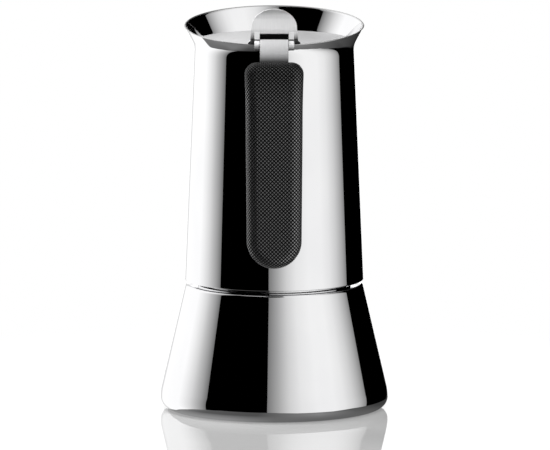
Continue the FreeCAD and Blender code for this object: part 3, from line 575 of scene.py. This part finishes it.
def upper_outlines():
    """Outside and inside of the wall below the flare, each from the foot upwards."""
    inset = UPPER_WALL / math.cos(math.radians(UPPER_LEAN))
    wall_top = FLARE_START + FLARE_ROOT_SHARE * FLARE_HEIGHT
    foot_inside = UPPER_FOOT + UPPER_WALL
    hem_radius = SHOULDER_RADIUS - UPPER_HEM
    foot_centre = (SHOULDER_RADIUS - UPPER_FOOT_ROUND, UPPER_FOOT + UPPER_FOOT_ROUND)
    foot = arc(foot_centre, UPPER_FOOT_ROUND, -90, UPPER_LEAN, 16)
    outer = [(hem_radius, UPPER_FOOT)] + foot
    outer += line(foot[-1], (upper_radius(wall_top), wall_top), 30)
    inner_foot = (upper_radius(foot_inside) - inset, foot_inside)
    inner = [(hem_radius, foot_inside), inner_foot]
    inner += line(inner_foot, (upper_radius(wall_top) - inset, wall_top), 30)
    return outer, inner


def flare_shares():
    """Shares of the flare's height that have a ring, from its root to the rim's round edge."""
    last_share = 1 - RIM_EDGE_ROUND / FLARE_HEIGHT
    step_share = (1 - FLARE_ROOT_SHARE) / FLARE_STEPS
    shares = [FLARE_ROOT_SHARE + step_share * step for step in range(FLARE_STEPS + 1)]
    return [share for share in shares if share < last_share - FLARE_LEAST_STEP] + [last_share]


def rim_rings():
    """Round edge of the rim, from the outside to the inside."""
    rings = []
    for step in range(1, RIM_EDGE_STEPS):
        turn = math.pi * step / RIM_EDGE_STEPS
        depth = UPPER_WALL * (1 - math.cos(turn)) / 2
        rings.append(flare_ring(1, depth, RIM_EDGE_ROUND * (math.sin(turn) - 1)))
    return rings


def upper_wall():
    """Collecting vessel's wall with its flare, and the rim marked as ground."""
    outer, inner = upper_outlines()
    shares = flare_shares()
    rim = rim_rings()
    rings = [level_ring(radius, z) for radius, z in outer]
    rings += [flare_ring(share, 0) for share in shares]
    rings += rim
    rings += [flare_ring(share, UPPER_WALL) for share in shares[::-1]]
    rings += [level_ring(radius, z) for radius, z in inner[::-1]]
    vertices, faces = skin(rings, True)
    piece = add_piece("upper_wall", vertices, faces, MIRROR, "upper", "polished_steel", "upper_shell")
    rim_start = (len(outer) + len(shares)) * SEGMENTS
    on_rim = np.zeros(len(vertices))
    on_rim[rim_start:rim_start + len(rim) * SEGMENTS] = 1
    mark_points(piece.data, "ground", on_rim)


# Lid

def lid_disc():
    """Flat lid with a rounded, turned-down edge."""
    low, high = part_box("lid")
    radius = high.x / MM
    top = high.z / MM
    foot = low.z / MM
    sheet = UPPER_WALL
    centre = (radius - LID_EDGE_ROUND, top - LID_EDGE_ROUND)
    outside = [(0, top)] + line((0, top), (centre[0], top), 10) + arc(centre, LID_EDGE_ROUND, 90, 0, 10)
    outside += [(radius, foot), (radius - sheet, foot)]
    inside = arc(centre, LID_EDGE_ROUND - sheet, 0, 90, 8) + [(0, top - sheet)]
    rings = [level_ring(ring_radius, z) for ring_radius, z in outside + inside]
    vertices, faces = skin(rings, False)
    add_piece("lid_disc", vertices, [face[::-1] for face in faces], LID_STEEL, "lid", "satin_steel", "lid")


# Grip

def grip_frame():
    """The grip's faces and the circles that carry its inset outline, in millimetres."""
    low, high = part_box("grip")
    front = low.y / MM
    back = high.y / MM
    top = high.z / MM
    foot = low.z / MM
    taper = math.radians(GRIP_TAPER)
    side = Vector((math.cos(taper), -math.sin(taper)))
    foot_centre = Vector((0, foot + GRIP_FOOT_RADIUS))
    corner_z = top - GRIP_CORNER
    corner_x = (foot_centre.dot(side) + GRIP_FOOT_RADIUS - GRIP_CORNER - corner_z * side.y) / side.x
    circles = [
        (corner_x, corner_z, GRIP_CORNER - GRIP_EDGE),
        (-corner_x, corner_z, GRIP_CORNER - GRIP_EDGE),
        (0, foot_centre.y, GRIP_FOOT_RADIUS - GRIP_EDGE),
    ]
    return front, back, top, foot, circles


def knurl_pattern(columns, rows, base):
    """Flat-topped diamonds between crossed grooves: points, ones for those in a groove, and faces."""
    sides = [(1, 0), (0, 1), (-1, 0), (0, -1)]
    lattice = [(i, j) for j in range(rows) for i in range(-columns, columns + 1)]
    points = [place for place in lattice if sum(place) % 2]
    groove = {place: index for index, place in enumerate(points)}
    faces = []
    for i, j in lattice:
        feet = [groove.get((i + across, j + up)) for across, up in sides]
        if None in feet:
            continue
        top = range(len(points), len(points) + 4)
        points += [(i + KNURL_FLAT * across, j + KNURL_FLAT * up) for across, up in sides]
        faces.append(list(top))
        faces += [[top[k - 1], feet[k - 1], feet[k], top[k]] for k in range(4)]
    in_groove = np.zeros(len(points))
    in_groove[:len(groove)] = 1
    return np.array(points) * KNURL_STEP + (0, base), in_groove, faces


def grip_half(points, in_groove, face_y, inwards, circles, reach):
    """Places the knurl's flat pattern on one half: face, rounded edge and side wall."""
    angles = np.radians(np.arange(0, 360, HEADING_STEP))
    directions = np.stack([np.cos(angles), np.sin(angles)], 1)
    support = np.max([directions @ np.array(c[:2]) + c[2] for c in circles], 0)
    away = points @ directions.T - support
    best = away.argmax(1)
    distance = away[np.arange(len(points)), best]
    heading = directions[best]
    outside = np.clip(distance, 0, reach)
    nearest = points - heading * np.clip(distance, 0, None)[:, None]
    turn = np.minimum(outside / GRIP_EDGE, math.pi / 2)
    beyond = np.maximum(outside - GRIP_EDGE * math.pi / 2, 0)
    flat = nearest + heading * (GRIP_EDGE * np.sin(turn))[:, None]
    depth = GRIP_EDGE * (1 - np.cos(turn)) + beyond
    sink = KNURL_DEPTH * in_groove
    flat = flat - heading * (np.sin(turn) * sink)[:, None]
    depth = depth + np.cos(turn) * sink
    placed = np.stack([flat[:, 0], face_y + inwards * depth, flat[:, 1]], 1)
    return placed, distance < reach - 1e-6


def grip_skin():
    """Knurled skin of both halves of the grip, with painted shade towards its top and in its grooves, and
    the screw's hole.
    """
    front, back, top, foot, circles = grip_frame()
    reach = GRIP_EDGE * math.pi / 2 + (back - front) / 2 - GRIP_EDGE
    columns = math.ceil((GRIP_FOOT_RADIUS + reach) / KNURL_STEP) + 2
    rows = math.ceil((top - foot + 2 * reach) / KNURL_STEP)
    points, in_groove, pattern = knurl_pattern(columns, rows, foot - reach)
    vertices = []
    faces = []
    wear_and_shade = []
    for face_y, inwards in ((front, 1), (back, -1)):
        placed, kept = grip_half(points, in_groove, face_y, inwards, circles, reach)
        rise = placed[:, 2] - top
        placed[:, 0] *= 1 + GRIP_SWELL * np.clip(rise / GRIP_SWELL_LENGTH + 1, 0, 1) ** 2
        # Painted shade: the flats' level falls towards the top, and the grooves lie far below it
        level_under_top_shade = np.interp(rise, [-KNURL_TOP_SHADE_LENGTH, 0], [1, KNURL_TOP_SHADE_LEVEL])
        wear_and_shade.extend(level_under_top_shade - GROOVE_SHADE * in_groove)
        start = len(vertices)
        vertices.extend(placed.tolist())
        faces += [[start + corner for corner in face[::inwards]] for face in pattern if kept[face].any()]
    piece = add_piece("grip_skin", vertices, faces, PLASTIC, "upper", "black_plastic", "grip")
    mark_points(piece.data, "wear_and_shade", wear_and_shade)
    weld(piece.data)
    screw_z = top - SCREW_DROP
    cut_hole(piece, SCREW_HEAD_ROOM, (0, back - SCREW_SINK, screw_z), (0, back + SCREW_SINK, screw_z))
    piece.data.polygons.foreach_set("use_smooth", [False] * len(piece.data.polygons))


# Stage: lengths in metres, and bearings in degrees about the pot's axis, from the camera's side towards +X

ALL_ROUND = np.arange(-180.0, 181.0, 1.0)
AXIS_GAP = 0.01
PANEL_RADIUS = 2.5
PANEL_TOP = 4.8

# Softboxes and dark flags around the pot: levels by bearing
PANELS = {
    "left_softbox": [
        (-172, 0.75), (-161, 0.75), (-158, 1.1), (-113, 1.1), (-104, 0.96), (-95, 0.77), (-88, 0.57),
        (-80, 0.37), (-73, 0.17),
    ],
    "left_flag": [(-73, 0.0), (-7, 0.0)],
    "front_softbox": [
        (-7, 0.2), (4, 0.41), (16, 0.68), (28, 0.86), (45, 0.96), (64, 0.96), (76, 0.87), (88, 0.68),
        (100, 0.42), (107, 0.24),
    ],
    "right_flag": [(107, 0.0), (172, 0.0)],
}

# Low softbox behind the pot: its bearings, and rows of height and level
BACK_BEARINGS = np.arange(172.0, 189.0)
BACK_ROWS = [(-0.3, 1.7), (0.7, 1.7), (1.1, 0.35), (PANEL_TOP, 0.2)]

# Ceiling, dark above the pot: rows of radius and level
CEILING_ROWS = [(PANEL_RADIUS, 1.0), (1.6, 0.4), (0.9, 0.03), (AXIS_GAP, 0.0)]

# Dark bowl below the panels, which the flare's underside mirrors: the height that it is seen from, the dip
# of its rim in degrees, the levels at its rim and further down, and its floor
BOWL_VIEW = 0.172
BOWL_DIP = [
    (-137, 33), (-128, 34.6), (-115, 38.5), (-100, 43.5), (-89, 45), (-62, 57), (-36, 65), (43, 65),
    (60, 62), (78, 56.5), (94, 50.3), (118, 38), (128, 28), (147, 13), (172, 6),
]
BOWL_RIM = [
    (-142, 1.1), (-138, 0.18), (-115, 0.15), (-89, 0.05), (-50, 0.04), (65, 0.16), (97, 0.12),
    (119, 0.07), (130, 0.0),
]
BOWL_DEEP = [
    (-142, 1.1), (-138, 0.22), (-84, 0.2), (-60, 0.1), (65, 0.21), (84, 0.2), (94, 0.16), (119, 0.09),
    (160, 0.03),
]
BOWL_FADE = 8.0
BOWL_EDGE = 0.03
BOWL_FOOT = -9.0
BOWL_FLOOR_LEVEL = 0.14

# Dark card that the foot mirrors, painted shade standing in for the pot's own shade on the table around
# its foot: the radii between which it changes, and its edge and levels by bearing
CONTACT_SHADE_DROP = 0.0006
CONTACT_SHADE_INNER_RADIUS = 0.0505
CONTACT_SHADE_OUTER_RADIUS = 0.057
CONTACT_SHADE_EDGE = [
    (-80, 0.05), (-66, 0.0525), (-58, 0.0585), (-50, 0.078), (-40, 0.09), (0, 0.09), (15, 0.074),
    (40, 0.07), (60, 0.082), (100, 0.073), (120, 0.066),
]
CONTACT_SHADE_INNER = [(-60, 0.3), (-25, 0.28), (0, 0.15), (60, 0.12), (100, 0.05)]
CONTACT_SHADE_OUTER = [(-60, 0.2), (-43, 0.1), (-10, 0.08), (26, 0.25), (52, 0.11), (80, 0.05)]

# Lamps: place, aim, width, depth and power in watts
LAMPS = {
    "key_lamp": ((0.3, -2.1, 1.6), (0, 0, 0.1), 1.6, 1.0, 45.0),
    "lid_lamp": ((-0.1, -0.033, 0.25), (-0.01, 0, 0.175), 0.06, 0.06, 0.37),
}

# Table, sky and camera
TABLE_HALF = 6.0
TABLE_DROP = 0.0002
TABLE_TONE = 0.3
TABLE_GLOW = 0.24
TABLE_ROUGHNESS = 0.012
TABLE_IOR = 1.3
TABLE_FADE_START = 0.12
TABLE_FADE_END = 0.26
SKY_LEVEL = 1.8
CAMERA_LENS = 715.7
CAMERA_SENSOR = 36.0
CAMERA_REACH = 100.0
CAMERA_PLACE = (0, -5.0, 0.7795)
CAMERA_AIM = (0.00037, 0, 0.0848)


def stage_material(name):
    """Bare material, its tree and its output."""
    material = bpy.data.materials.new(name)
    material.use_nodes = True
    tree = material.node_tree
    tree.nodes.remove(tree.nodes["Principled BSDF"])
    return material, tree, tree.nodes["Material Output"]


def mix_shaders(tree, output, share, first, second):
    """Gives the output the first shader, and the second one by a share."""
    mix = tree.nodes.new("ShaderNodeMixShader")
    tree.links.new(share, mix.inputs["Fac"])
    tree.links.new(first, mix.inputs[1])
    tree.links.new(second, mix.inputs[2])
    tree.links.new(mix.outputs["Shader"], output.inputs["Surface"])


def glow_material(name):
    """Light of each point's own level on the front, and nothing on the back."""
    material, tree, output = stage_material(name)
    level = tree.nodes.new("ShaderNodeAttribute")
    level.attribute_name = "level"
    glow = tree.nodes.new("ShaderNodeEmission")
    side = tree.nodes.new("ShaderNodeNewGeometry")
    clear = tree.nodes.new("ShaderNodeBsdfTransparent")
    tree.links.new(level.outputs["Fac"], glow.inputs["Strength"])
    mix_shaders(tree, output, side.outputs["Backfacing"], glow.outputs["Emission"], clear.outputs["BSDF"])
    return material


def by_bearing(bearings, stops):
    """Values at bearings, from stops of bearing and value."""
    return np.interp(bearings, *zip(*stops))


def glow_sheet(name, bearings, rows):
    """Sheet of light, out of the camera's sight, through rows of radius, height and level."""
    turns = np.radians(bearings)
    count = len(turns)
    vertices = []
    levels = []
    for row in rows:
        radius, height, level = [np.broadcast_to(part, count) for part in row]
        vertices.extend(zip(radius * np.sin(turns), -radius * np.cos(turns), height))
        levels.extend(level)
    faces = []
    for row in range(len(rows) - 1):
        for step in range(count - 1):
            corner = row * count + step
            faces.append((corner, corner + count, corner + count + 1, corner + 1))
    mesh = bpy.data.meshes.new(name)
    mesh.from_pydata(vertices, [], faces)
    mesh.materials.append(glow_material(name))
    mark_points(mesh, "level", levels)
    sheet = bpy.data.objects.new(name, mesh)
    scene.collection.objects.link(sheet)
    sheet.visible_camera = False
    return sheet


def light_panel(name, stops):
    """Standing curved panel whose level changes with the bearing, on the rim of the dark bowl."""
    bearings = np.arange(stops[0][0], stops[-1][0] + 0.5, 1.0)
    levels = by_bearing(bearings, stops)
    dip = by_bearing(bearings, BOWL_DIP)
    rim = BOWL_VIEW - PANEL_RADIUS * np.tan(np.radians(dip))
    deep = BOWL_VIEW - PANEL_RADIUS * np.tan(np.radians(dip + BOWL_FADE))
    rim_levels = by_bearing(bearings, BOWL_RIM)
    deep_levels = by_bearing(bearings, BOWL_DEEP)
    rows = [
        (PANEL_RADIUS, BOWL_FOOT, deep_levels),
        (PANEL_RADIUS, deep, deep_levels),
        (PANEL_RADIUS, rim - BOWL_EDGE, rim_levels),
        (PANEL_RADIUS, rim, levels),
        (PANEL_RADIUS, PANEL_TOP, levels),
    ]
    glow_sheet(name, bearings, rows)


def mirror_card(name, rows):
    """Round card that only shows in polished steel."""
    card = glow_sheet(name, ALL_ROUND, rows)
    card.visible_diffuse = False
    card.visible_shadow = False


def contact_shade_card():
    """Dark card close under the foot, painted shade that the foot mirrors in place of the pot's own shade
    on the table, cut away on the side of the large softbox.
    """
    edge = by_bearing(ALL_ROUND, CONTACT_SHADE_EDGE)
    inner = by_bearing(ALL_ROUND, CONTACT_SHADE_INNER)
    outer = by_bearing(ALL_ROUND, CONTACT_SHADE_OUTER)
    rows = [
        (AXIS_GAP, -CONTACT_SHADE_DROP, inner),
        (np.minimum(CONTACT_SHADE_INNER_RADIUS, edge), -CONTACT_SHADE_DROP, inner),
        (np.minimum(CONTACT_SHADE_OUTER_RADIUS, edge), -CONTACT_SHADE_DROP, outer),
        (edge, -CONTACT_SHADE_DROP, outer),
    ]
    mirror_card("contact_shade_card", rows)


def add_aimed(name, data, place, aim):
    """Lamp or camera at a place, turned towards its aim."""
    item = bpy.data.objects.new(name, data)
    scene.collection.objects.link(item)
    item.location = place
    item.rotation_euler = (Vector(aim) - item.location).to_track_quat("-Z", "Y").to_euler()
    return item


def soft_lamp(name, place, aim, width, depth, power):
    """Soft lamp that polished steel doesn't mirror."""
    data = bpy.data.lights.new(name, "AREA")
    data.shape = "RECTANGLE"
    data.size = width
    data.size_y = depth
    data.energy = power
    lamp = add_aimed(name, data, place, aim)
    lamp.visible_glossy = False
    lamp.visible_camera = False


def seen_rays(tree):
    """One for rays that show a background: from the camera, mirrored or refracted."""
    path = tree.nodes.new("ShaderNodeLightPath").outputs
    shown = math_node(tree, "MAXIMUM", path["Is Camera Ray"], path["Is Glossy Ray"])
    return math_node(tree, "MAXIMUM", shown, path["Is Transmission Ray"])


def table_gloss():
    """Pale gloss that fades into the white background, for the rays that show it."""
    material, tree, output = stage_material("table")
    gloss = tree.nodes.new("ShaderNodeBsdfPrincipled")
    gloss.inputs["Base Color"].default_value = (TABLE_TONE, TABLE_TONE, TABLE_TONE, 1)
    gloss.inputs["Emission Color"].default_value = (1, 1, 1, 1)
    gloss.inputs["Emission Strength"].default_value = TABLE_GLOW
    gloss.inputs["Roughness"].default_value = TABLE_ROUGHNESS
    gloss.inputs["IOR"].default_value = TABLE_IOR
    white = tree.nodes.new("ShaderNodeEmission")
    place = tree.nodes.new("ShaderNodeTexCoord")
    length = tree.nodes.new("ShaderNodeVectorMath")
    length.operation = "LENGTH"
    tree.links.new(place.outputs["Object"], length.inputs[0])
    fade = share_between(tree, length.outputs["Value"], TABLE_FADE_START, TABLE_FADE_END, "SMOOTHSTEP")
    share = math_node(tree, "MULTIPLY", seen_rays(tree), fade)
    mix_shaders(tree, output, share, gloss.outputs["BSDF"], white.outputs["Emission"])
    return material


def floor():
    """Wide table just under the pot's foot, which polished steel doesn't mirror."""
    half = TABLE_HALF
    mesh = bpy.data.meshes.new("table")
    corners = [(-half, -half, 0), (half, -half, 0), (half, half, 0), (-half, half, 0)]
    mesh.from_pydata(corners, [], [(0, 1, 2, 3)])
    mesh.materials.append(table_gloss())
    table_top = bpy.data.objects.new("table", mesh)
    table_top.location.z = -TABLE_DROP
    table_top.visible_glossy = False
    scene.collection.objects.link(table_top)


def sky():
    """White world for the rays that show it, and a brighter one for soft light on everything."""
    world = bpy.data.worlds.new("studio")
    scene.world = world
    world.use_nodes = True
    tree = world.node_tree
    background = tree.nodes["Background"]
    level = tree.nodes.new("ShaderNodeMapRange")
    level.inputs["To Min"].default_value = SKY_LEVEL
    level.inputs["To Max"].default_value = 1.0
    tree.links.new(seen_rays(tree), level.inputs["Value"])
    tree.links.new(level.outputs["Result"], background.inputs["Strength"])
    background.inputs["Color"].default_value = (1, 1, 1, 1)


def camera():
    """Long lens in front of the grip, slightly above the pot."""
    data = bpy.data.cameras.new("camera")
    data.lens = CAMERA_LENS
    data.sensor_width = CAMERA_SENSOR
    data.clip_end = CAMERA_REACH
    scene.camera = add_aimed("camera", data, CAMERA_PLACE, CAMERA_AIM)


# Camera and pot

camera()
boiler_wall()
upper_wall()
lid_disc()
grip_skin()

rounded = [
    ("lid_lever", 0.2, LEVER_STEEL, "lid", "satin_steel"),
    ("handle_strap", 0.25, STRAP_STEEL, "upper", "satin_steel"),
    ("valve_body", 0.25, BRASS, "boiler", "valve_brass"),
    ("valve_cap", 0.15, BRASS, "boiler", "valve_brass"),
    ("valve_nut", 0.2, BRASS, "boiler", "valve_brass"),
    ("valve_washer", 0.15, RUBBER, "boiler", "seal_rubber"),
    ("grip_screw", 0.15, PIN_STEEL, "upper", "satin_steel"),
    ("hinge_pin", 0.2, PIN_STEEL, "upper", "satin_steel"),
]
for node, width, material, body, slot in rounded:
    rounded_copy(node, width, material, body, slot)

node_materials = {
    MIRROR: ["threaded_collar"],
    INNER_STEEL: ["boiler_neck", "funnel", "funnel_sieve", "filter_plate", "chamber_floor",
                  "column", "column_cap", "valve_plunger", "valve_spring"],
    RUBBER: ["gasket"],
}
for material, nodes in node_materials.items():
    for node in nodes:
        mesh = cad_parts[node].data
        mesh.materials.clear()
        mesh.materials.append(material)

# Light and table

glow_sheet("back_softbox", BACK_BEARINGS, [(PANEL_RADIUS, *row) for row in BACK_ROWS])
for name, stops in PANELS.items():
    light_panel(name, stops)
mirror_card("bowl_floor", [(radius, BOWL_FOOT, BOWL_FLOOR_LEVEL) for radius in (AXIS_GAP, PANEL_RADIUS)])
mirror_card("ceiling", [(radius, PANEL_TOP, level) for radius, level in CEILING_ROWS])
contact_shade_card()
for name, settings in LAMPS.items():
    soft_lamp(name, *settings)
floor()
sky()

scene.view_settings.view_transform = "Standard"
